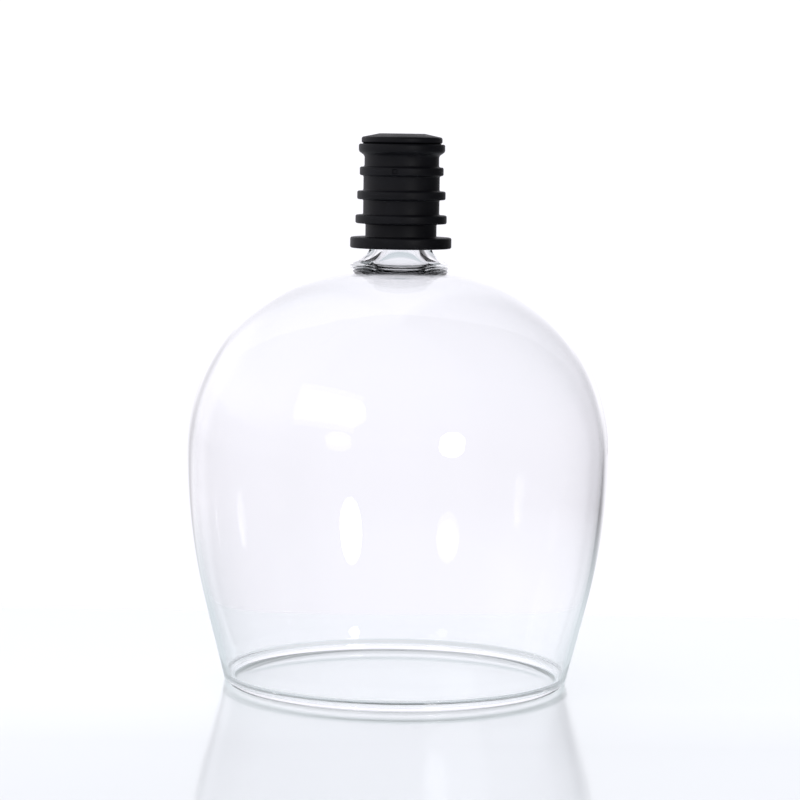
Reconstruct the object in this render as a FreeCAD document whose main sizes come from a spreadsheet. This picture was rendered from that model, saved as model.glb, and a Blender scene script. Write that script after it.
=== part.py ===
import FreeCAD, Part

import math
import os

import Sketcher

# A wine glass that goes on top of a bottle. A blown bowl stands mouth down on its rim, a hollow stem is
# fused to the bowl's crown, and a ribbed silicone stopper is pushed over the stem.
#
# Millimetres and degrees, +Z up. The origin is the centre of the rim, on the surface it stands on.
# Every piece is round about the Z axis, so each is one outline turned about it.

# Driving sizes: alias, value, what it is.
SIZES = (
    # The bowl's outer shape, from the rim up to the neck.
    ("rim_radius", 40.15, "radius of the rim's centre line"),
    ("bead_radius", 1.15, "section radius of the fire-polished rim"),
    ("land_depth", 0.02, "how much of the rim is ground off to stand flat"),
    ("bead_blend", 1.0, "inner fillet between the rim and the wall"),
    ("straight_wall", 19.0, "length of the straight wall above the rim"),
    ("belly_radius", 50.4, "outer radius at the widest place"),
    ("belly_height", 55.8, "height of the widest place"),
    ("shoulder_arc", 46.5, "section radius of the shoulder"),
    ("shoulder_turn", 59.0, "angle that the shoulder turns through"),
    ("crown_arc", 35.2, "section radius of the crown"),
    ("flare_arc", 5.5, "outer fillet from the crown into the neck"),
    # Glass thickness.
    ("wall", 1.2, "wall at the belly"),
    ("crown_extra", 0.8, "extra glass at the crown"),
    ("funnel_arc", 6.0, "inner fillet from the bowl into the wine passage"),
    # Stem.
    ("neck_radius", 7.0, "outer radius where the stem is fused on"),
    ("stem_taper", 1.1, "how much slimmer the stem's free end is"),
    ("tip_wall", 1.6, "wall at the stem's free end"),
    ("tip_round", 0.6, "fire-polished edge of the free end"),
    # Stopper, from its flange up.
    ("seat_depth", 1.85, "how far the flange reaches down over the flare"),
    ("sleeve_wall", 1.5, "silicone round the neck, below the ribs"),
    ("mid_step", 0.6, "how much wider the sleeve is between the ribs"),
    ("top_step", 0.4, "how much wider the sleeve is below the top rib"),
    ("flange_width", 3.6, "how far the flange stands out of the sleeve"),
    ("flange_height", 2.6, "thickness of the flange"),
    ("flange_round", 0.5, "edge of the flange"),
    ("first_gap", 3.25, "from the flange to the first rib"),
    ("rib_pitch", 5.7, "from rib to rib"),
    ("rib_height", 2.05, "thickness of a plain rib"),
    ("rib_round", 0.3, "edge of a rib"),
    ("rib_a_depth", 1.8, "how far the lowest rib stands out of the sleeve"),
    ("rib_b_depth", 1.45, "the same, second rib"),
    ("rib_c_depth", 0.9, "the same, third rib"),
    ("rib_d_depth", 1.4, "the same, top rib"),
    ("top_rib_height", 1.8, "thickness of the top rib"),
    ("top_rib_cone", 1.0, "height of the cone under the top rib"),
    ("groove_depth", 0.55, "depth of the groove under the lip"),
    ("groove_height", 0.2, "height of the groove under the lip"),
    ("lip_depth", 0.75, "how far the lip stands out of the sleeve"),
    ("lip_height", 1.4, "height of the lip's straight side"),
    ("crest_rise", 0.9, "rise of the top from the lip's side to its crest"),
    ("crest_land", 0.6, "flat ring round the hole in the top"),
    ("hole_margin", 0.5, "how much wider than the passage that hole is"),
    ("shelf_thickness", 1.6, "silicone over the stem's free end"),
    # Fits between the stopper and the glass.
    ("fit_clearance", 0.04, "radial gap between stem and sleeve"),
    ("mouth_clearance", 0.3, "radial gap between the flare and the sleeve's mouth"),
    ("mouth_lead", 0.8, "height of the mouth's lead-in above the weld"),
    ("tip_gap", 0.3, "gap between the stem's free end and the shelf"),
)

# Places that follow from the sizes. Heights of the stopper are counted from the underside of its flange,
# heights of the stem from the weld, and all others from the surface that the glass stands on.
LAYOUT = (
    ("bead_height", "sizes.bead_radius - sizes.land_depth"),
    ("land_inner", "sizes.rim_radius - sqrt(sizes.bead_radius^2 - bead_height^2)"),
    ("land_outer", "sizes.rim_radius + sqrt(sizes.bead_radius^2 - bead_height^2)"),
    ("side_arc", "((sizes.belly_radius - sizes.rim_radius)^2 + (sizes.belly_height - bead_height)^2"
                 " - sizes.straight_wall^2 - sizes.bead_radius^2)"
                 " / (2 * (sizes.belly_radius - sizes.rim_radius - sizes.bead_radius))"),
    ("inner_belly_radius", "sizes.belly_radius - sizes.wall"),
    ("inner_belly_height", "sizes.belly_height - sizes.crown_extra"),
    ("inner_side_arc", "side_arc - sizes.wall"),
    ("inner_shoulder_arc", "sizes.shoulder_arc - sizes.wall"),
    ("inner_crown_arc", "sizes.crown_arc - sizes.wall"),
    ("crown_centre_radius", "sizes.belly_radius - sizes.shoulder_arc"
                            " + (sizes.shoulder_arc - sizes.crown_arc) * cos(sizes.shoulder_turn)"),
    ("crown_centre_height", "sizes.belly_height"
                            " + (sizes.shoulder_arc - sizes.crown_arc) * sin(sizes.shoulder_turn)"),
    ("weld_height", "crown_centre_height + sqrt((sizes.crown_arc + sizes.flare_arc)^2"
                    " - (sizes.neck_radius + sizes.flare_arc - crown_centre_radius)^2)"),
    ("tip_radius", "sizes.neck_radius - sizes.stem_taper"),
    ("passage_radius", "tip_radius - sizes.tip_wall"),
    ("flange_underside", "weld_height - sizes.seat_depth"),
    ("core_low_radius", "sizes.neck_radius + sizes.sleeve_wall"),
    ("core_mid_radius", "core_low_radius + sizes.mid_step"),
    ("core_top_radius", "core_low_radius + sizes.top_step"),
    ("flange_radius", "core_low_radius + sizes.flange_width"),
    ("rib_a_radius", "core_mid_radius + sizes.rib_a_depth"),
    ("rib_b_radius", "core_mid_radius + sizes.rib_b_depth"),
    ("rib_c_radius", "core_mid_radius + sizes.rib_c_depth"),
    ("rib_d_radius", "core_top_radius + sizes.rib_d_depth"),
    ("lip_radius", "core_top_radius + sizes.lip_depth"),
    ("groove_radius", "lip_radius - sizes.groove_depth"),
    ("hole_radius", "passage_radius + sizes.hole_margin"),
    ("crest_radius", "hole_radius + sizes.crest_land"),
    ("rib_a_low", "sizes.flange_height + sizes.first_gap"),
    ("rib_a_high", "rib_a_low + sizes.rib_height"),
    ("rib_b_low", "rib_a_low + sizes.rib_pitch"),
    ("rib_b_high", "rib_b_low + sizes.rib_height"),
    ("rib_c_low", "rib_b_low + sizes.rib_pitch"),
    ("rib_c_high", "rib_c_low + sizes.rib_height"),
    ("rib_d_low", "rib_c_low + sizes.rib_pitch"),
    ("rib_d_high", "rib_d_low + sizes.top_rib_height"),
    ("cone_low", "rib_d_low - sizes.top_rib_cone"),
    ("lip_low", "rib_d_high + sizes.groove_height"),
    ("lip_high", "lip_low + sizes.lip_height"),
    ("stopper_top", "lip_high + sizes.crest_rise"),
    ("shelf_low", "stopper_top - sizes.shelf_thickness"),
    ("stem_length", "shelf_low - sizes.tip_gap - sizes.seat_depth"),
    ("mouth_radius", "sizes.neck_radius + sizes.flare_arc"
                     " - sqrt(sizes.flare_arc^2 - sizes.seat_depth^2) + sizes.mouth_clearance"),
    ("mouth_top", "sizes.seat_depth + sizes.mouth_lead"),
    ("sleeve_root_radius", "sizes.neck_radius + sizes.fit_clearance"
                           " - sizes.stem_taper * sizes.mouth_lead / stem_length"),
    ("sleeve_tip_radius", "tip_radius + sizes.fit_clearance"),
)

ORIGIN = -1          # the sketch's own origin, as Sketcher numbers it
START, END, CENTRE = 1, 2, 3
CLOSE = 1e-4         # how near two places have to be to count as one, mm


def make_sheet(document, name, rows, prefix):
    """A spreadsheet with one aliased cell per row, and a note beside it where the row has one."""
    sheet = document.addObject("Spreadsheet::Sheet", name)
    for line, row in enumerate(rows, start=1):
        alias, content, note = row if len(row) == 3 else (*row, "")
        sheet.set(f"A{line}", note or alias)
        sheet.setAlias(f"B{line}", alias)
        sheet.set(f"B{line}", f"{prefix}{content}")
    document.recompute()
    return sheet


class Names:
    """Looks a size or a place up by its alias, as a number or as an expression."""

    def __init__(self, *sheets):
        self.home = {}
        for sheet, rows in sheets:
            for row in rows:
                self.home[row[0]] = sheet

    def value(self, alias):
        return float(self.home[alias].get(alias))

    def cell(self, alias):
        return f"{self.home[alias].Name}.{alias}"


def new_body(document, name):
    body = document.addObject("PartDesign::Body", name)
    body.Label = name
    return body


def new_sketch(body, name):
    """A sketch on the body's XZ plane: its x is the radius and its y the height."""
    sketch = body.newObject("Sketcher::SketchObject", name)
    plane = next(item for item in body.Origin.OriginFeatures if item.Role == "XZ_Plane")
    sketch.AttachmentSupport = (plane, [""])
    sketch.MapMode = "FlatFace"
    return sketch


def settle(sketch):
    """Solves the sketch, and stops the build if an end leaves the place that was worked out for it."""
    worked_out = [(piece.StartPoint, piece.EndPoint) for piece in sketch.Geometry]
    sketch.Document.recompute()
    for piece, ends in zip(sketch.Geometry, worked_out):
        moves = [end.distanceToPoint(old) for end, old in zip((piece.StartPoint, piece.EndPoint), ends)]
        if max(moves) > CLOSE:
            raise RuntimeError(f"{sketch.Name}: an end moved by {max(moves):.4f} mm")
    if not sketch.FullyConstrained:
        raise RuntimeError(f"{sketch.Name} isn't fully constrained")


def turn(body, sketch, name):
    """The sketch's outline turned once round its upright axis."""
    settle(sketch)
    solid = body.newObject("PartDesign::Revolution", name)
    solid.Profile = sketch
    solid.ReferenceAxis = (sketch, ["V_Axis"])
    solid.Angle = 360
    body.Document.recompute()


def bind(sketch, names, alias, *constraint):
    """A dimension that takes its value from the named cell."""
    unit = math.pi / 180 if constraint[0] == "Angle" else 1.0
    index = sketch.addConstraint(Sketcher.Constraint(*constraint, names.value(alias) * unit))
    scale = " * 1 deg" if constraint[0] == "Angle" else ""
    sketch.setExpression(f"Constraints[{index}]", names.cell(alias) + scale)


def tie(sketch, kind, *ends):
    sketch.addConstraint(Sketcher.Constraint(kind, *ends))


def add_line(sketch, begin, end):
    return sketch.addGeometry(Part.LineSegment(FreeCAD.Vector(*begin, 0), FreeCAD.Vector(*end, 0)))


def add_arc(sketch, centre, radius, low, high):
    """An arc that runs anticlockwise from the angle low to the angle high, in radians."""
    circle = Part.Circle(FreeCAD.Vector(*centre, 0), FreeCAD.Vector(0, 0, 1), radius)
    return sketch.addGeometry(Part.ArcOfCircle(circle, low, high))


def along(point, angle, distance):
    return (point[0] + distance * math.cos(angle), point[1] + distance * math.sin(angle))


def add_shell_side(sketch, names, belly, arcs, neck, slope):
    """Side, shoulder, crown and neck fillet as tangent arcs: the bowl's outer or inner face.

    belly holds the aliases of the widest radius and its height, arcs those of the four section radii,
    and neck that of the radius which the fillet ends at. slope is the side's angle at its lower end.
    """
    widest, height = names.value(belly[0]), names.value(belly[1])
    side_arc, shoulder_arc, crown_arc, neck_arc = (names.value(alias) for alias in arcs)
    shoulder_turn = math.radians(names.value("shoulder_turn"))
    shoulder_centre = (widest - shoulder_arc, height)
    crown_centre = along(shoulder_centre, shoulder_turn, shoulder_arc - crown_arc)
    reach = names.value(neck) + neck_arc - crown_centre[0]
    crown_end = math.acos(reach / (crown_arc + neck_arc))
    neck_centre = along(crown_centre, crown_end, crown_arc + neck_arc)

    side = add_arc(sketch, (widest - side_arc, height), side_arc, -slope, 0.0)
    shoulder = add_arc(sketch, shoulder_centre, shoulder_arc, 0.0, shoulder_turn)
    crown = add_arc(sketch, crown_centre, crown_arc, shoulder_turn, crown_end)
    fillet = add_arc(sketch, neck_centre, neck_arc, math.pi, math.pi + crown_end)

    for piece, alias in zip((side, shoulder, crown, fillet), arcs):
        bind(sketch, names, alias, "Radius", piece)
    bind(sketch, names, belly[0], "DistanceX", ORIGIN, START, shoulder, START)
    bind(sketch, names, belly[1], "DistanceY", ORIGIN, START, shoulder, START)
    bind(sketch, names, "shoulder_turn", "Angle", shoulder)
    bind(sketch, names, neck, "DistanceX", ORIGIN, START, fillet, START)
    tie(sketch, "Horizontal", shoulder, CENTRE, shoulder, START)
    tie(sketch, "Tangent", side, END, shoulder, START)
    tie(sketch, "Tangent", shoulder, END, crown, START)
    tie(sketch, "Tangent", crown, END, fillet, END)
    tie(sketch, "Horizontal", fillet, CENTRE, fillet, START)
    return side, fillet, neck_centre[1]


def side_slope(names):
    """Angle of the straight wall to the vertical: it touches both the rim's bead and the side's arc."""
    across = names.value("rim_radius") - (names.value("belly_radius") - names.value("side_arc"))
    down = names.value("belly_height") - names.value("bead_height")
    apart = names.value("side_arc") - names.value("bead_radius")
    return math.atan2(down, across) - math.acos(apart / math.hypot(across, down))


def draw_bowl(sketch, names):
    """The bowl's section: outer face, neck, inner face and the rounded rim with its flat land."""
    slope = side_slope(names)
    bead_radius, blend = names.value("bead_radius"), names.value("bead_blend")
    bead = (names.value("rim_radius"), names.value("bead_height"))
    outer_belly = ("belly_radius", "belly_height")
    inner_belly = ("inner_belly_radius", "inner_belly_height")
    outer_arcs = ("side_arc", "shoulder_arc", "crown_arc", "flare_arc")
    inner_arcs = ("inner_side_arc", "inner_shoulder_arc", "inner_crown_arc", "funnel_arc")
    side, flare, weld = add_shell_side(sketch, names, outer_belly, outer_arcs, "neck_radius", slope)
    inner_side, funnel, funnel_top = add_shell_side(
        sketch, names, inner_belly, inner_arcs, "passage_radius", slope)

    # The neck's cut end, and the short straight piece of the passage below it.
    passage, neck = names.value("passage_radius"), names.value("neck_radius")
    cut_end = add_line(sketch, (neck, weld), (passage, weld))
    bore = add_line(sketch, (passage, weld), (passage, funnel_top))
    tie(sketch, "Coincident", flare, START, cut_end, START)
    tie(sketch, "Coincident", cut_end, END, bore, START)
    tie(sketch, "Coincident", bore, END, funnel, START)
    tie(sketch, "Horizontal", cut_end)
    tie(sketch, "Vertical", bore)

    # The rim: an arc on each side of the land, and a fillet up into the inner face.
    thickness = names.value("wall") + names.value("crown_extra") * math.sin(slope)
    inset = thickness - bead_radius
    rise = math.sqrt((bead_radius + blend) ** 2 - (inset + blend) ** 2)
    inward, upward = math.pi - slope, math.pi / 2 - slope
    blend_centre = along(along(bead, inward, inset + blend), upward, rise)
    touch = math.atan2(blend_centre[1] - bead[1], blend_centre[0] - bead[0])
    land = math.acos(bead[1] / bead_radius)
    side_centre = names.value("belly_radius") - names.value("side_arc")
    side_foot = along((side_centre, names.value("belly_height")), -slope, names.value("side_arc"))
    inner_foot = along((side_centre, names.value("inner_belly_height")), -slope,
                       names.value("inner_side_arc"))

    outer_wall = add_line(sketch, along(bead, -slope, bead_radius), side_foot)
    inner_wall = add_line(sketch, along(along(bead, inward, inset), upward, rise), inner_foot)
    outer_bead = add_arc(sketch, bead, bead_radius, 1.5 * math.pi + land, 2 * math.pi - slope)
    inner_bead = add_arc(sketch, bead, bead_radius, touch, 1.5 * math.pi - land)
    fillet = add_arc(sketch, blend_centre, blend, math.pi + touch, 2 * math.pi - slope)
    foot = add_line(sketch, along(bead, 1.5 * math.pi - land, bead_radius),
                    along(bead, 1.5 * math.pi + land, bead_radius))
    tie(sketch, "Tangent", outer_wall, END, side, START)
    tie(sketch, "Tangent", outer_wall, START, outer_bead, END)
    tie(sketch, "Tangent", inner_wall, END, inner_side, START)
    tie(sketch, "Tangent", inner_wall, START, fillet, END)
    tie(sketch, "Tangent", fillet, START, inner_bead, START)
    tie(sketch, "Coincident", inner_bead, END, foot, START)
    tie(sketch, "Coincident", foot, END, outer_bead, START)
    tie(sketch, "Coincident", inner_bead, CENTRE, outer_bead, CENTRE)
    tie(sketch, "Equal", inner_bead, outer_bead)
    tie(sketch, "Parallel", inner_wall, outer_wall)
    bind(sketch, names, "land_inner", "DistanceX", ORIGIN, START, foot, START)
    bind(sketch, names, "land_outer", "DistanceX", ORIGIN, START, foot, END)
    bind(sketch, names, "rim_radius", "DistanceX", ORIGIN, START, outer_bead, CENTRE)
    bind(sketch, names, "bead_height", "DistanceY", ORIGIN, START, outer_bead, CENTRE)
    bind(sketch, names, "bead_radius", "Radius", outer_bead)
    bind(sketch, names, "bead_blend", "Radius", fillet)


def draw_outline(sketch, names, corners):
    """A closed outline of straight sides. Each corner is a pair of aliases, radius and height.

    A height of None is the level that heights are counted from.
    """
    def place(corner):
        return names.value(corner[0]), names.value(corner[1]) if corner[1] else 0.0

    sides = [add_line(sketch, place(corner), place(follower))
             for corner, follower in zip(corners, corners[1:] + corners[:1])]
    for number, (radius, height) in enumerate(corners):
        tie(sketch, "Coincident", sides[number - 1], END, sides[number], START)
        bind(sketch, names, radius, "DistanceX", ORIGIN, START, sides[number], START)
        if height:
            bind(sketch, names, height, "DistanceY", ORIGIN, START, sides[number], START)
        else:
            tie(sketch, "PointOnObject", sides[number], START, ORIGIN)


def round_edges(body, names, name, round_alias, edges):
    """Fillets the circular edges that have these radii and heights, given as pairs of aliases."""
    base = body.Tip
    found = []
    for number, edge in enumerate(base.Shape.Edges, start=1):
        if not isinstance(edge.Curve, Part.Circle):
            continue
        for radius, height in edges:
            level = names.value(height) if height else 0.0
            if (abs(edge.Curve.Radius - names.value(radius)) < CLOSE
                    and abs(edge.Curve.Center.z - level) < CLOSE):
                found.append(f"Edge{number}")
    if len(found) != len(edges):
        raise RuntimeError(f"{name}: {len(found)} edges found, {len(edges)} wanted")
    fillet = body.newObject("PartDesign::Fillet", name)
    fillet.Base = (base, found)
    fillet.setExpression("Radius", names.cell(round_alias))
    body.Document.recompute()


def make_bowl(document, names):
    """The blown bowl with its rim, crown and flared neck, up to the weld."""
    body = new_body(document, "glass_bowl")
    sketch = new_sketch(body, "bowl_section")
    draw_bowl(sketch, names)
    turn(body, sketch, "bowl_turned")
    return body


def make_stem(document, names):
    """The tapered hollow stem. It stands on the weld, and its free end is fire-polished."""
    body = new_body(document, "glass_stem")
    sketch = new_sketch(body, "stem_section")
    draw_outline(sketch, names, [
        ("passage_radius", None),
        ("neck_radius", None),
        ("tip_radius", "stem_length"),
        ("passage_radius", "stem_length"),
    ])
    turn(body, sketch, "stem_turned")
    round_edges(body, names, "stem_polish", "tip_round",
                [("tip_radius", "stem_length"), ("passage_radius", "stem_length")])
    body.setExpression("Placement.Base.z", names.cell("weld_height"))
    return body


def rib_corners(rib, sleeve_below, sleeve_above):
    """The four corners of a plain rib, from the sleeve below it to the sleeve above it."""
    low, high, radius = f"rib_{rib}_low", f"rib_{rib}_high", f"rib_{rib}_radius"
    return [(sleeve_below, low), (radius, low), (radius, high), (sleeve_above, high)]


def make_stopper(document, names):
    """The silicone stopper: flange, sleeve, ribs, lip, and a shelf over the stem's free end."""
    body = new_body(document, "stopper")
    sketch = new_sketch(body, "stopper_section")
    outside = [
        ("mouth_radius", None),
        ("flange_radius", None),
        ("flange_radius", "flange_height"),
        ("core_low_radius", "flange_height"),
        *rib_corners("a", "core_low_radius", "core_mid_radius"),
        *rib_corners("b", "core_mid_radius", "core_mid_radius"),
        *rib_corners("c", "core_mid_radius", "core_top_radius"),
        ("core_top_radius", "cone_low"),
        ("rib_d_radius", "rib_d_low"),
        ("rib_d_radius", "rib_d_high"),
        ("groove_radius", "rib_d_high"),
        ("groove_radius", "lip_low"),
        ("lip_radius", "lip_low"),
        ("lip_radius", "lip_high"),
        ("crest_radius", "stopper_top"),
    ]
    inside = [
        ("hole_radius", "stopper_top"),
        ("hole_radius", "shelf_low"),
        ("sleeve_tip_radius", "shelf_low"),
        ("sleeve_root_radius", "mouth_top"),
    ]
    draw_outline(sketch, names, outside + inside)
    turn(body, sketch, "stopper_turned")
    round_edges(body, names, "flange_edges", "flange_round",
                [("flange_radius", None), ("flange_radius", "flange_height")])
    rib_edges = [(f"rib_{rib}_radius", f"rib_{rib}_{side}") for rib in "abcd" for side in ("low", "high")]
    lip_edges = [("lip_radius", "lip_low"), ("lip_radius", "lip_high")]
    round_edges(body, names, "rib_edges", "rib_round", rib_edges + lip_edges)
    body.setExpression("Placement.Base.z", names.cell("flange_underside"))
    return body


def check(document, bodies):
    """Stops the build if any feature failed, or a body isn't one sound solid."""
    failed = [item.Name for item in document.Objects if {"Invalid", "Error"} & set(item.State)]
    if failed:
        raise RuntimeError(f"features that failed: {failed}")
    for body in bodies:
        shape = body.Shape
        if shape.isNull() or not shape.isValid() or len(shape.Solids) != 1:
            raise RuntimeError(f"{body.Label} isn't one valid solid")


def main():
    document = FreeCAD.newDocument("bottle_top_wine_glass")
    sizes = make_sheet(document, "sizes", SIZES, "")
    layout = make_sheet(document, "layout", LAYOUT, "=")
    names = Names((sizes, SIZES), (layout, LAYOUT))
    bodies = [make(document, names) for make in (make_bowl, make_stem, make_stopper)]
    document.recompute()
    check(document, bodies)
    os.makedirs("parts", exist_ok=True)
    for body in bodies:
        body.Shape.exportStep(f"parts/{body.Label}.step")
        box = body.Shape.optimalBoundingBox()
        print(f"{body.Label}: {body.Shape.Volume:.1f} mm3, z {box.ZMin:.2f} to {box.ZMax:.2f},"
              f" widest {box.XLength:.2f}")


main()
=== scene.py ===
"""Looks of a wine glass that goes on top of a bottle: a blown bowl with its stem, and a silicone stopper.

Metres, +Z up. The origin is the centre of the rim, on the surface that the glass stands on. Both pieces
are round about the Z axis, so each starts as one outline that is spun about it.
"""

import logging
import math
from collections.abc import Callable
from dataclasses import dataclass, field
from enum import Enum
from typing import Any

import bmesh
import bpy
from mathutils import Matrix, Vector


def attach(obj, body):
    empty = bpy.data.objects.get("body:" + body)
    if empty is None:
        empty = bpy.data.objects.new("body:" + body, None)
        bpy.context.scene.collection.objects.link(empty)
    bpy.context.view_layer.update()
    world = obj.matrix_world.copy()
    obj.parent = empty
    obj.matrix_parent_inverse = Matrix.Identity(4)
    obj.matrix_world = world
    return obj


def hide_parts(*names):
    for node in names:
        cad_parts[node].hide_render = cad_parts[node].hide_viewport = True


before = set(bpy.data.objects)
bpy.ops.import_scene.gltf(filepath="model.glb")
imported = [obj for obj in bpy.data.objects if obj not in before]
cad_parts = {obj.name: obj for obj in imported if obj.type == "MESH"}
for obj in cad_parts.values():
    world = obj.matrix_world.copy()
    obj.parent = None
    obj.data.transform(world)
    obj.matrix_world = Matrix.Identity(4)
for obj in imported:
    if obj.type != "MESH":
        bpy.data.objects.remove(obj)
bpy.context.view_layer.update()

MM = 0.001
MERGE = 0.002 * MM
LOG = logging.getLogger("bottle_top_glass")

Colour = tuple[float, float, float, float]
Place = tuple[float, float]


class Turn(Enum):
    """The way that an arc of an outline turns, with the radius to the right and +Z up."""

    LEFT = 1
    RIGHT = -1


class Shape(Enum):
    """The shapes of a studio light's face, as Blender names them."""

    PANEL = "RECTANGLE"
    OVAL = "ELLIPSE"


class Tree:
    """A node tree that is built one node at a time."""

    def __init__(self, tree: bpy.types.NodeTree) -> None:
        """Takes a tree and empties it.

        Args:
            tree: the material's or the world's node tree.
        """
        self.tree = tree
        self.tree.nodes.clear()

    def add(self, kind: str, inputs: dict[str | int, Any] | None = None, **settings: Any) -> bpy.types.Node:
        """Adds a node.

        Args:
            kind: the node's type.
            inputs: what goes into its sockets, each a plain value or another node's output.
            settings: the node's own properties.

        Returns:
            The new node.
        """
        node = self.tree.nodes.new(kind)
        for name, value in settings.items():
            setattr(node, name, value)
        for socket, value in (inputs or {}).items():
            if isinstance(value, bpy.types.NodeSocket):
                self.tree.links.new(value, node.inputs[socket])
            else:
                node.inputs[socket].default_value = value
        return node

    def ramp(self, value: bpy.types.NodeSocket, stops: list[tuple[float, Colour]]) -> bpy.types.NodeSocket:
        """Adds a colour ramp with soft steps.

        Args:
            value: where on the ramp each point is, from 0 to 1.
            stops: place and colour of each stop, in order.

        Returns:
            The ramp's colour.
        """
        node = self.add("ShaderNodeValToRGB", {"Fac": value})
        node.color_ramp.interpolation = "EASE"
        elements = node.color_ramp.elements
        while len(elements) < len(stops):
            elements.new(0.5)
        for element, (place, colour) in zip(elements, stops):
            element.position = place
            element.color = colour
        return node.outputs["Color"]


class Outline:
    """A half section in the XZ plane, drawn point by point. Its distances are in millimetres."""

    def __init__(self, name: str, radius: float, height: float) -> None:
        """Puts down the first point.

        Args:
            name: name of the piece that it becomes.
            radius: distance of the point from the axis.
            height: height of the point.
        """
        bpy.ops.object.select_all(action="DESELECT")
        bpy.ops.mesh.primitive_circle_add(vertices=3, radius=MM, location=(radius * MM, 0.0, height * MM))
        self.piece = bpy.context.object
        self.piece.name = name
        self.piece.data.name = name
        bpy.ops.object.transform_apply(location=True, rotation=False, scale=False)
        bpy.ops.object.mode_set(mode="EDIT")
        bpy.ops.mesh.select_mode(type="VERT")
        bpy.ops.mesh.select_all(action="SELECT")
        bpy.ops.mesh.merge(type="CENTER")
        self.at = Vector((radius, height))

    def line(self, radius: float, height: float, steps: int = 1) -> None:
        """Draws a straight run.

        Args:
            radius: where it ends, from the axis.
            height: where it ends, from the floor.
            steps: how many edges it has.
        """
        move = (Vector((radius, height)) - self.at) * MM / steps
        for _ in range(steps):
            bpy.ops.mesh.extrude_region_move(TRANSFORM_OT_translate={"value": (move.x, 0.0, move.y)})
        self.at = Vector((radius, height))

    def arc(self, centre: Place, to: float, turn: Turn, steps: int) -> None:
        """Draws an arc.

        Args:
            centre: its centre, as radius and height.
            to: the direction of its end from the centre, in degrees from +X towards +Z.
            turn: the way it goes round.
            steps: how many edges it has.
        """
        middle = Vector(centre)
        arm = self.at - middle
        start = math.atan2(arm.y, arm.x)
        sweep = (turn.value * (math.radians(to) - start)) % math.tau * turn.value
        bpy.ops.mesh.spin(
            steps=steps,
            angle=sweep,
            center=(middle.x * MM, 0.0, middle.y * MM),
            axis=(0.0, 1.0, 0.0),
        )
        end = start + sweep
        self.at = middle + arm.length * Vector((math.cos(end), math.sin(end)))

    def spun(self, steps: int) -> bpy.types.Object:
        """Spins the closed outline about the Z axis.

        Args:
            steps: how many steps there are in the full turn.

        Returns:
            The piece, in object mode.
        """
        bpy.ops.mesh.select_all(action="SELECT")
        bpy.ops.mesh.remove_doubles(threshold=MERGE)
        bpy.ops.mesh.spin(steps=steps, angle=math.tau, center=(0.0, 0.0, 0.0), axis=(0.0, 0.0, 1.0))
        bpy.ops.mesh.select_all(action="SELECT")
        bpy.ops.mesh.remove_doubles(threshold=MERGE)
        bpy.ops.mesh.normals_make_consistent(inside=False)
        bpy.ops.object.mode_set(mode="OBJECT")
        return self.piece


def pick_faces(piece: bpy.types.Object, wanted: Callable[[Vector, Vector], bool]) -> int:
    """Selects faces of the piece that is being edited, and nothing else.

    Args:
        piece: the piece, in edit mode.
        wanted: says of a face's centre and normal if it is selected.

    Returns:
        How many faces are selected.
    """
    bpy.ops.mesh.select_mode(type="FACE")
    bpy.ops.mesh.select_all(action="DESELECT")
    mesh = bmesh.from_edit_mesh(piece.data)
    found = [face for face in mesh.faces if wanted(face.calc_center_median(), face.normal)]
    for face in found:
        face.select_set(True)
    mesh.select_flush_mode()
    bmesh.update_edit_mesh(piece.data)
    return len(found)


@dataclass(frozen=True)
class ClearGlass:
    """Blown borosilicate: clear, faintly cool, with the fine rings that turning leaves."""

    name: str = "clear_glass"
    tint: Colour = (0.992, 0.992, 1.0, 1.0)
    ior: float = 1.473
    ring_scale: float = 30.0
    ring_squeeze: float = 9.0
    ring_detail: float = 1.0
    ring_break: float = 0.4
    ring_depth: float = 0.004 * MM

    def material(self) -> bpy.types.Material:
        """Makes the glass, with faint rings that run round it.

        Returns:
            The material.
        """
        material = bpy.data.materials.new(self.name)
        material.use_nodes = True
        tree = Tree(material.node_tree)
        place = tree.add("ShaderNodeTexCoord").outputs["Object"]
        flat = tree.add("ShaderNodeMapping", {"Vector": place, "Scale": (1.0, 1.0, self.ring_squeeze)})
        rings = tree.add(
            "ShaderNodeTexNoise",
            {
                "Vector": flat.outputs["Vector"],
                "Scale": self.ring_scale,
                "Detail": self.ring_detail,
                "Roughness": self.ring_break,
            },
        )
        bump = tree.add(
            "ShaderNodeBump",
            {"Height": rings.outputs["Fac"], "Strength": 1.0, "Distance": self.ring_depth},
        )
        glass = tree.add(
            "ShaderNodeBsdfPrincipled",
            {
                "Base Color": self.tint,
                "Roughness": 0.0,
                "IOR": self.ior,
                "Transmission Weight": 1.0,
                "Normal": bump.outputs["Normal"],
            },
        )
        tree.add("ShaderNodeOutputMaterial", {"Surface": glass.outputs["BSDF"]})
        return material


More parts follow.
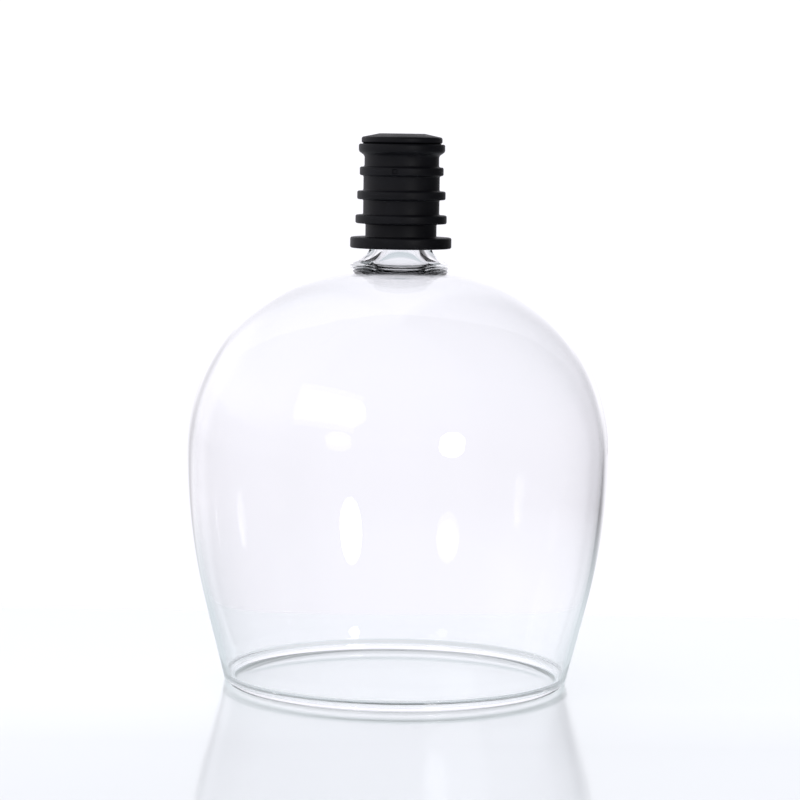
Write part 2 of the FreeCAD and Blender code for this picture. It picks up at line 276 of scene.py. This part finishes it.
@dataclass(frozen=True)
class BlackSilicone:
    """Moulded black silicone rubber: matte, with a fine grain and a little bloom."""

    name: str = "black_silicone"
    dark: Colour = (0.0050, 0.0051, 0.0068, 1.0)
    bloom: Colour = (0.0085, 0.0086, 0.0112, 1.0)
    specular: float = 0.15
    bloom_scale: float = 160.0
    bloom_detail: float = 4.0
    bloom_break: float = 0.6
    bloom_span: tuple[float, float] = (0.35, 0.75)
    handled_span: tuple[float, float] = (0.3, 0.7)
    roughness: tuple[float, float] = (0.42, 0.54)
    grain_scale: float = 5200.0
    grain_detail: float = 2.0
    grain_break: float = 0.5
    grain_strength: float = 0.5
    grain_depth: float = 0.012 * MM

    def material(self) -> bpy.types.Material:
        """Makes the rubber, a little paler and rougher where it has been handled.

        Returns:
            The material.
        """
        material = bpy.data.materials.new(self.name)
        material.use_nodes = True
        tree = Tree(material.node_tree)
        place = tree.add("ShaderNodeTexCoord").outputs["Object"]
        clouds = tree.add(
            "ShaderNodeTexNoise",
            {
                "Vector": place,
                "Scale": self.bloom_scale,
                "Detail": self.bloom_detail,
                "Roughness": self.bloom_break,
            },
        ).outputs["Fac"]
        colour = tree.ramp(clouds, [(self.bloom_span[0], self.dark), (self.bloom_span[1], self.bloom)])
        roughness = tree.add(
            "ShaderNodeMapRange",
            {
                "Value": clouds,
                "From Min": self.handled_span[0],
                "From Max": self.handled_span[1],
                "To Min": self.roughness[0],
                "To Max": self.roughness[1],
            },
        )
        grain = tree.add(
            "ShaderNodeTexNoise",
            {
                "Vector": place,
                "Scale": self.grain_scale,
                "Detail": self.grain_detail,
                "Roughness": self.grain_break,
            },
        )
        bump = tree.add(
            "ShaderNodeBump",
            {
                "Height": grain.outputs["Fac"],
                "Strength": self.grain_strength,
                "Distance": self.grain_depth,
            },
        )
        rubber = tree.add(
            "ShaderNodeBsdfPrincipled",
            {
                "Base Color": colour,
                "Roughness": roughness.outputs["Result"],
                "Specular IOR Level": self.specular,
                "Normal": bump.outputs["Normal"],
            },
        )
        tree.add("ShaderNodeOutputMaterial", {"Surface": rubber.outputs["BSDF"]})
        return material


@dataclass
class Glass:
    """The bowl and the stem on its crown, which are one piece of glass once they are fused.

    Sizes are in millimetres and directions in degrees. A place is a radius and a height, and the place of an
    arc is its centre. The steps say how finely each run is divided.
    """

    steps: int = 384
    land_steps: int = 2
    bead_steps: tuple[int, int] = (10, 18)
    blend_steps: int = 8
    wall_steps: int = 5
    side_steps: int = 14
    shoulder_steps: int = 38
    crown_steps: tuple[int, int] = (17, 19)
    flare_steps: int = 17
    stem_steps: int = 6
    bead: Place = (40.15, 1.13)
    land: Place = (39.9365, 40.3635)
    wall_slope: float = -14.084
    wall_top: Place = (45.8888, 19.2791)
    side: Place = (-99.685, 55.8)
    shoulder: Place = (3.9, 55.8)
    shoulder_turn: float = 59.0
    crown: Place = (9.72, 65.486)
    crown_end: float = 86.083
    flare: Place = (12.5, 106.0909)
    tip_centre: Place = (5.32742, 128.9909)
    tip_slope: float = 2.68
    tip_top: float = 129.5909
    passage: float = 4.3
    tip_inner: Place = (4.9, 128.9909)
    funnel: Place = (10.3, 104.6818)
    inner_crown: Place = (9.72, 64.686)
    inner_crown_end: float = 89.169
    inner_shoulder: Place = (3.9, 55.0)
    inner_side: Place = (-99.685, 55.0)
    inner_foot: Place = (40.7703, 3.008)
    blend: Place = (39.8, 3.2513)
    blend_end: float = -80.62
    land_end: float = -100.70
    wave: float = 0.06
    wave_length: float = 26.0
    wavy_from: Place = (18.0, 34.0)
    wavy_to: Place = (82.0, 97.0)

    def build(self) -> bpy.types.Object:
        """Draws the section, up the outside and down the inside, and spins it.

        Returns:
            The glass, without its finish.
        """
        pen = Outline("glass", self.land[0], 0.0)
        pen.line(self.land[1], 0.0, self.land_steps)
        pen.arc(self.bead, self.wall_slope, Turn.LEFT, self.bead_steps[0])
        pen.line(*self.wall_top, self.wall_steps)
        pen.arc(self.side, 0.0, Turn.LEFT, self.side_steps)
        pen.arc(self.shoulder, self.shoulder_turn, Turn.LEFT, self.shoulder_steps)
        pen.arc(self.crown, self.crown_end, Turn.LEFT, self.crown_steps[0])
        pen.arc(self.flare, 180.0, Turn.RIGHT, self.flare_steps)
        self.stem(pen)
        pen.arc(self.funnel, self.inner_crown_end + 180.0, Turn.LEFT, self.flare_steps)
        pen.arc(self.inner_crown, self.shoulder_turn, Turn.RIGHT, self.crown_steps[1])
        pen.arc(self.inner_shoulder, 0.0, Turn.RIGHT, self.shoulder_steps)
        pen.arc(self.inner_side, self.wall_slope, Turn.RIGHT, self.side_steps)
        pen.line(*self.inner_foot, self.wall_steps)
        pen.arc(self.blend, self.blend_end, Turn.RIGHT, self.blend_steps)
        pen.arc(self.bead, self.land_end, Turn.LEFT, self.bead_steps[1])
        piece = pen.spun(self.steps)
        self.make_uneven(piece)
        bpy.ops.object.shade_smooth()
        return piece

    def make_uneven(self, piece: bpy.types.Object) -> None:
        """Gives the bowl the slow waves of blown glass, and leaves rim, straight wall and stem true.

        Args:
            piece: the glass, in object mode.
        """
        group = piece.vertex_groups.new(name="blown")
        for vertex in piece.data.vertices:
            height = vertex.co.z / MM
            rise = (height - self.wavy_from[0]) / (self.wavy_from[1] - self.wavy_from[0])
            fall = (self.wavy_to[1] - height) / (self.wavy_to[1] - self.wavy_to[0])
            weight = min(1.0, rise, fall)
            if weight > 0.0:
                group.add([vertex.index], weight * weight * (3.0 - 2.0 * weight), "REPLACE")
        clouds = bpy.data.textures.new("blown_waves", "CLOUDS")
        clouds.noise_scale = self.wave_length * MM
        clouds.noise_depth = 0
        waves = piece.modifiers.new("waves", "DISPLACE")
        waves.texture = clouds
        waves.texture_coords = "LOCAL"
        waves.vertex_group = group.name
        waves.strength = self.wave * MM
        waves.mid_level = 0.5
        bpy.ops.object.modifier_apply(modifier=waves.name)
        piece.vertex_groups.clear()

    def stem(self, pen: Outline) -> None:
        """Draws the stem from the weld to its fire-polished end, and the wine passage back down.

        Args:
            pen: the outline, at the weld.
        """
        slope = math.radians(self.tip_slope)
        edge = self.tip_top - self.tip_centre[1]
        shoulder = Vector(self.tip_centre) + edge * Vector((math.cos(slope), math.sin(slope)))
        pen.line(shoulder.x, shoulder.y, self.stem_steps)
        pen.arc(self.tip_centre, 90.0, Turn.LEFT, self.stem_steps)
        pen.line(self.tip_inner[0], self.tip_top)
        pen.arc(self.tip_inner, 180.0, Turn.LEFT, self.stem_steps)
        pen.line(self.passage, self.funnel[1], self.stem_steps)

    def finish(self, piece: bpy.types.Object) -> None:
        """Dresses the glass and fixes it to its body.

        Args:
            piece: the glass.
        """
        piece.data.materials.append(ClearGlass().material())
        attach(piece, "glass")
        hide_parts("glass_bowl", "glass_stem")


@dataclass
class Stopper:
    """The ribbed silicone stopper, moulded in one.

    Sizes are in millimetres, angles in degrees, and heights are from the floor. The core has three widths,
    from the flange up. A rib is a radius, a bottom and a top. The bore is a little tighter than the stem,
    because the sleeve is stretched over it.
    """

    steps: int = 192
    underside: float = 104.2409
    flange: Place = (12.1, 106.841)
    core: tuple[float, float, float] = (8.5, 9.1, 8.9)
    ribs: tuple[tuple[float, float, float], ...] = (
        (10.9, 110.091, 112.141),
        (10.55, 115.791, 117.841),
        (10.0, 121.491, 123.541),
    )
    cone_low: float = 126.191
    top_rib: tuple[float, float, float] = (10.3, 127.191, 128.991)
    groove: Place = (9.1, 129.191)
    lip: Place = (9.65, 130.591)
    crest: Place = (5.4, 131.491)
    hole: float = 4.8
    shelf: float = 129.891
    tip_radius: float = 5.88
    root: Place = (6.94, 106.891)
    mouth: float = 7.6204
    edge: float = 0.42
    edge_steps: int = 4
    sharp_angle: float = 35.0
    smooth_angle: float = 40.0
    notch_angle: float = -8.6
    notch_width: float = 1.3
    notch_frame: float = 0.25
    notch_depth: float = 0.28
    notch_reach: float = 0.99

    def build(self) -> bpy.types.Object:
        """Draws the section with sharp corners, spins it, rounds the edges and cuts the gate's mark.

        Returns:
            The stopper, without its finish.
        """
        low, middle, high = self.core
        widths = ((low, middle), (middle, middle), (middle, high))
        pen = Outline("stopper_body", self.mouth, self.underside)
        pen.line(self.flange[0], self.underside)
        pen.line(*self.flange)
        pen.line(low, self.flange[1])
        for (radius, bottom, top), (below, above) in zip(self.ribs, widths):
            pen.line(below, bottom)
            pen.line(radius, bottom)
            pen.line(radius, top)
            pen.line(above, top)
        pen.line(high, self.cone_low)
        pen.line(*self.top_rib[:2])
        pen.line(self.top_rib[0], self.top_rib[2])
        pen.line(self.groove[0], self.top_rib[2])
        pen.line(*self.groove)
        pen.line(self.lip[0], self.groove[1])
        pen.line(*self.lip)
        pen.line(*self.crest)
        pen.line(self.hole, self.crest[1])
        pen.line(self.hole, self.shelf)
        pen.line(self.tip_radius, self.shelf)
        pen.line(*self.root)
        pen.line(self.mouth, self.underside)
        piece = pen.spun(self.steps)
        self.round_edges(piece)
        self.cut_notch(piece)
        bpy.ops.object.shade_smooth_by_angle(angle=math.radians(self.smooth_angle))
        return piece

    def cut_notch(self, piece: bpy.types.Object) -> None:
        """Sinks the small mark that the moulding gate leaves in the third rib.

        Args:
            piece: the stopper, in object mode.
        """
        radius, bottom, top = self.ribs[2]
        half = math.degrees(0.5 * self.notch_width / radius)

        def on_mark(centre: Vector, normal: Vector) -> bool:
            """Says if a face is on the rib's side, at the mark.

            Args:
                centre: the face's centre.
                normal: the face's normal.

            Returns:
                True for a face of the mark.
            """
            turn = math.degrees(math.atan2(centre.x, -centre.y)) - self.notch_angle
            outward = normal.x * centre.x + normal.y * centre.y > self.notch_reach * radius * MM
            return outward and bottom * MM < centre.z < top * MM and abs(turn) < half

        bpy.ops.object.mode_set(mode="EDIT")
        count = pick_faces(piece, on_mark)
        bpy.ops.mesh.inset(thickness=self.notch_frame * MM, depth=-self.notch_depth * MM)
        bpy.ops.object.mode_set(mode="OBJECT")
        LOG.info("gate mark cut in %d faces", count)

    def round_edges(self, piece: bpy.types.Object) -> None:
        """Rounds every moulded edge.

        Args:
            piece: the stopper, in object mode.
        """
        bevel = piece.modifiers.new("edges", "BEVEL")
        bevel.limit_method = "ANGLE"
        bevel.angle_limit = math.radians(self.sharp_angle)
        bevel.width = self.edge * MM
        bevel.offset_type = "OFFSET"
        bevel.segments = self.edge_steps
        bevel.use_clamp_overlap = False
        bpy.ops.object.modifier_apply(modifier=bevel.name)

    def finish(self, piece: bpy.types.Object) -> None:
        """Dresses the stopper and fixes it to its body.

        Args:
            piece: the stopper.
        """
        piece.data.materials.append(BlackSilicone().material())
        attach(piece, "stopper")
        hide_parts("stopper")


@dataclass(frozen=True)
class Lamp:
    """A soft light that faces the bowl.

    Azimuth is 0 behind the glass, 90 to the right and 180 behind the camera. Angles are in degrees and
    sizes in metres.
    """

    name: str
    azimuth: float
    elevation: float
    width: float
    height: float
    radiance: float
    shape: Shape = Shape.PANEL
    distance: float = 1.2

    def build(self, middle: Vector, lit: bpy.types.Collection) -> None:
        """Hangs the light.

        Args:
            middle: the point that it faces.
            lit: the pieces that it lights. The floor isn't one of them, so it shows no image of the light.
        """
        data = bpy.data.lights.new(self.name, "AREA")
        data.shape = self.shape.value
        data.size = self.width
        data.size_y = self.height
        area = self.width * self.height * (math.pi / 4 if self.shape is Shape.OVAL else 1.0)
        data.energy = self.radiance * math.pi * area
        lamp = bpy.data.objects.new(self.name, data)
        bpy.context.scene.collection.objects.link(lamp)
        turn = math.radians(self.azimuth)
        rise = math.radians(self.elevation)
        away = Vector((math.sin(turn) * math.cos(rise), math.cos(turn) * math.cos(rise), math.sin(rise)))
        lamp.location = middle + away * self.distance
        lamp.rotation_euler = away.to_track_quat("Z", "Y").to_euler()
        lamp.visible_camera = False
        lamp.light_linking.receiver_collection = lit


@dataclass
class Studio:
    """The pale floor, the white surround, the soft lights and the camera.

    Lengths are in metres and angles in degrees. The surround is a list of azimuths, as a lamp's, and how
    light it is there. The same goes for upward, whose first number is the sine of the elevation. The plate's
    glow fades from the first place to the second, down to a share of it: painted shade in front of the glass.
    Seen in glass, the floor is painted, not lit: the near tone as far as near is painted shade by the glass,
    and the surround's tone from off is a painted reflection of the surround.
    """

    middle: tuple[float, float, float] = (0.0, 0.0, 0.06)
    floor_half: float = 30.0
    plate_edge: float = 0.096
    plate_seam: float = 0.002
    plate_ior: float = 1.5
    plate_roughness: float = 0.09
    plate_shine: Colour = (0.98, 0.995, 1.0, 1.0)
    plate_body: Colour = (0.84, 0.875, 0.89, 1.0)
    plate_tint: Colour = (0.935, 0.99, 1.0, 1.0)
    plate_glow: float = 0.47
    plate_gain: float = 1.5
    plate_painted_shade: tuple[float, float, float] = (-0.03, -0.075, 0.70)
    paper_end: float = 1.2
    paper_glow: tuple[float, float] = (1.06, 1.09)
    half_bounce: float = 0.5
    near: float = 0.09
    off: float = 0.28
    painted_shade_tone: Colour = (0.70, 0.76, 0.80, 1.0)
    white: Colour = (0.955, 0.946, 1.0, 1.0)
    surround: tuple[tuple[float, float], ...] = (
        (-180.0, 0.50),
        (-130.0, 0.6),
        (-100.0, 0.85),
        (-60.0, 1.0),
        (-36.0, 1.0),
        (-25.0, 0.68),
        (-15.0, 1.0),
        (20.0, 1.0),
        (36.0, 0.25),
        (60.0, 0.08),
        (110.0, 0.08),
        (150.0, 0.42),
        (180.0, 0.50),
    )
    upward: tuple[tuple[float, float], ...] = (
        (0.0, 1.0),
        (0.15, 1.0),
        (0.188, 1.05),
        (0.21, 1.18),
        (0.26, 1.14),
        (0.6, 0.74),
        (1.0, 0.55),
    )
    strength: float = 1.14
    lamps: list[Lamp] = field(
        default_factory=lambda: [
            Lamp("right_softbox", 151.0, 10.6, 0.285, 0.222, 13.0, Shape.OVAL),
            Lamp("left_softbox", -137.0, 28.6, 0.76, 0.40, 0.9),
            Lamp("left_core", -153.0, 27.4, 0.30, 0.24, 1.6, Shape.OVAL, 1.15),
            Lamp("left_low", -147.8, 11.5, 0.29, 0.15, 1.4, Shape.OVAL, 1.15),
        ]
    )
    eye: tuple[float, float, float] = (0.00033, -0.6783, 0.1306)
    pitch: float = -5.29
    roll: float = 0.78
    lens: float = 127.7
    sensor: float = 36.0
    clip: tuple[float, float] = (0.01, 200.0)
    bounces: int = 32

    def build(self, pieces: list[bpy.types.Object]) -> None:
        """Sets up the whole studio.

        Args:
            pieces: what the lamps light.
        """
        self.build_surround()
        self.build_floor()
        lit = bpy.data.collections.new("lit_pieces")
        for piece in pieces:
            lit.objects.link(piece)
        for lamp in self.lamps:
            lamp.build(Vector(self.middle), lit)
        self.build_camera()
        scene = bpy.context.scene
        scene.view_settings.view_transform = "Standard"
        scene.cycles.max_bounces = self.bounces
        scene.cycles.glossy_bounces = self.bounces
        scene.cycles.transmission_bounces = self.bounces

    def light_around(self, tree: Tree, parts: bpy.types.NodeOutputs) -> bpy.types.NodeSocket:
        """Adds the nodes that say how light the surround is on each side.

        Args:
            tree: the tree that they go into.
            parts: the X, Y and Z outputs of a direction, or of a place on the floor, where the surround's
                tone is a painted reflection.

        Returns:
            The surround's colour.
        """
        azimuth = tree.add("ShaderNodeMath", {0: parts["X"], 1: parts["Y"]}, operation="ARCTAN2")
        share = tree.add(
            "ShaderNodeMapRange",
            {"Value": azimuth.outputs["Value"], "From Min": -math.pi, "From Max": math.pi},
        )
        stops = [
            ((angle + 180.0) / 360.0, tuple(level * part for part in self.white[:3]) + (1.0,))
            for angle, level in self.surround
        ]
        return tree.ramp(share.outputs["Result"], stops)

    def build_surround(self) -> None:
        """Makes the surround: white behind the glass, and darker towards the camera and to the right."""
        world = bpy.data.worlds.new("surround")
        bpy.context.scene.world = world
        world.use_nodes = True
        tree = Tree(world.node_tree)
        way = tree.add("ShaderNodeTexCoord").outputs["Generated"]
        parts = tree.add("ShaderNodeSeparateXYZ", {"Vector": way}).outputs
        around = self.light_around(tree, parts)
        above = tree.ramp(parts["Z"], [(height, (level, level, level, 1.0)) for height, level in self.upward])
        both = tree.add(
            "ShaderNodeMix",
            {0: 1.0, 6: around, 7: above},
            data_type="RGBA",
            blend_type="MULTIPLY",
        )
        light = tree.add("ShaderNodeBackground", {"Color": both.outputs[2], "Strength": self.strength})
        tree.add("ShaderNodeOutputWorld", {"Surface": light.outputs["Background"]})

    def build_floor(self) -> None:
        """Lays the floor: a polished pale plate in front, and matte white paper behind it."""
        bpy.ops.object.select_all(action="DESELECT")
        bpy.ops.mesh.primitive_plane_add(size=2.0 * self.floor_half)
        floor = bpy.context.object
        floor.name = "floor"
        material = bpy.data.materials.new("floor")
        material.use_nodes = True
        tree = Tree(material.node_tree)
        place = tree.add("ShaderNodeTexCoord").outputs["Object"]
        parts = tree.add("ShaderNodeSeparateXYZ", {"Vector": place}).outputs
        behind = tree.add(
            "ShaderNodeMapRange",
            {
                "Value": parts["Y"],
                "From Min": self.plate_edge - self.plate_seam,
                "From Max": self.plate_edge + self.plate_seam,
            },
        )
        seen = tree.add(
            "ShaderNodeMixShader",
            {"Fac": behind.outputs["Result"], 1: self.plate(tree, parts), 2: self.paper(tree, parts)},
        )
        # Rays that were reflected before don't see the lit floor but its painted reflection and painted
        # shade.
        path = tree.add("ShaderNodeLightPath")
        again = tree.add(
            "ShaderNodeMath",
            {0: path.outputs["Glossy Depth"], 1: self.half_bounce},
            operation="GREATER_THAN",
        )
        whole = tree.add(
            "ShaderNodeMixShader",
            {"Fac": again.outputs["Value"], 1: seen.outputs["Shader"], 2: self.painted_reflection_and_shade(tree, place, parts)},
        )
        tree.add("ShaderNodeOutputMaterial", {"Surface": whole.outputs["Shader"]})
        floor.data.materials.append(material)

    def plate(self, tree: Tree, parts: bpy.types.NodeOutputs) -> bpy.types.NodeSocket:
        """Adds the polished plate, which is lit from below, with painted shade that darkens its glow towards
        the front.

        Args:
            tree: the floor's tree.
            parts: the X, Y and Z outputs of the place on the floor.

        Returns:
            The plate's shader.
        """
        fresnel = tree.add("ShaderNodeFresnel", {"IOR": self.plate_ior}).outputs["Fac"]
        grazing = tree.add(
            "ShaderNodeMath",
            {0: fresnel, 1: self.plate_gain},
            operation="MULTIPLY",
            use_clamp=True,
        )
        shine = tree.add(
            "ShaderNodeBsdfGlossy",
            {"Color": self.plate_shine, "Roughness": self.plate_roughness},
        )
        body = tree.add("ShaderNodeBsdfDiffuse", {"Color": self.plate_body})
        # Painted shade: the glow falls to a share of itself towards the camera, from just in front of the
        # glass.
        start, end, share = self.plate_painted_shade
        painted_shade = tree.add(
            "ShaderNodeMapRange",
            {
                "Value": parts["Y"],
                "From Min": end,
                "From Max": start,
                "To Min": share * self.plate_glow,
                "To Max": self.plate_glow,
            },
        )
        glow = tree.add("ShaderNodeEmission", {"Color": self.plate_tint, "Strength": painted_shade.outputs["Result"]})
        lit = tree.add("ShaderNodeAddShader", {0: body.outputs["BSDF"], 1: glow.outputs["Emission"]})
        plate = tree.add(
            "ShaderNodeMixShader",
            {"Fac": grazing.outputs["Value"], 1: lit.outputs["Shader"], 2: shine.outputs["BSDF"]},
        )
        return plate.outputs["Shader"]

    def paper(self, tree: Tree, parts: bpy.types.NodeOutputs) -> bpy.types.NodeSocket:
        """Adds the white paper, which gets a little lighter away from the plate.

        Args:
            tree: the floor's tree.
            parts: the X, Y and Z outputs of the place on the floor.

        Returns:
            The paper's shader.
        """
        far = tree.add(
            "ShaderNodeMapRange",
            {
                "Value": parts["Y"],
                "From Min": self.plate_edge,
                "From Max": self.paper_end,
                "To Min": self.paper_glow[0],
                "To Max": self.paper_glow[1],
            },
        )
        paper = tree.add("ShaderNodeEmission", {"Color": self.white, "Strength": far.outputs["Result"]})
        return paper.outputs["Emission"]

    def painted_reflection_and_shade(
        self,
        tree: Tree,
        place: bpy.types.NodeSocket,
        parts: bpy.types.NodeOutputs,
    ) -> bpy.types.NodeSocket:
        """Adds what the floor shows to rays that were reflected before: not lit, but a painted reflection of
        the surround's tones, with painted shade near the glass.

        Args:
            tree: the floor's tree.
            place: the place on the floor.
            parts: its X, Y and Z outputs.

        Returns:
            The shader.
        """
        reach = tree.add("ShaderNodeVectorMath", {0: place}, operation="LENGTH")
        away = tree.add(
            "ShaderNodeMapRange",
            {"Value": reach.outputs["Value"], "From Min": self.near, "From Max": self.off},
        )
        # Painted shade near the glass, turning into a painted reflection of the surround further off.
        side = tree.add(
            "ShaderNodeMix",
            {0: away.outputs["Result"], 6: self.painted_shade_tone, 7: self.light_around(tree, parts)},
            data_type="RGBA",
        )
        return tree.add("ShaderNodeEmission", {"Color": side.outputs[2]}).outputs["Emission"]

    def build_camera(self) -> None:
        """Sets up the camera."""
        data = bpy.data.cameras.new("camera")
        data.sensor_width = self.sensor
        data.lens = self.lens
        data.clip_start, data.clip_end = self.clip
        camera = bpy.data.objects.new("camera", data)
        bpy.context.scene.collection.objects.link(camera)
        pitch = Matrix.Rotation(math.radians(90.0 + self.pitch), 4, "X")
        roll = Matrix.Rotation(math.radians(self.roll), 4, "Z")
        camera.matrix_world = Matrix.Translation(self.eye) @ pitch @ roll
        bpy.context.scene.camera = camera


def main() -> None:
    """Builds the glass, the stopper and the studio in turn, and notes the sizes."""
    logging.basicConfig(level=logging.INFO, format="%(name)s: %(message)s")
    pieces: list[bpy.types.Object] = []
    for part in (Glass(), Stopper()):
        piece = part.build()
        part.finish(piece)
        pieces.append(piece)
        LOG.info("%s: %d faces", piece.name, len(piece.data.polygons))
    Studio().build(pieces)


if __name__ == "__main__":
    main()
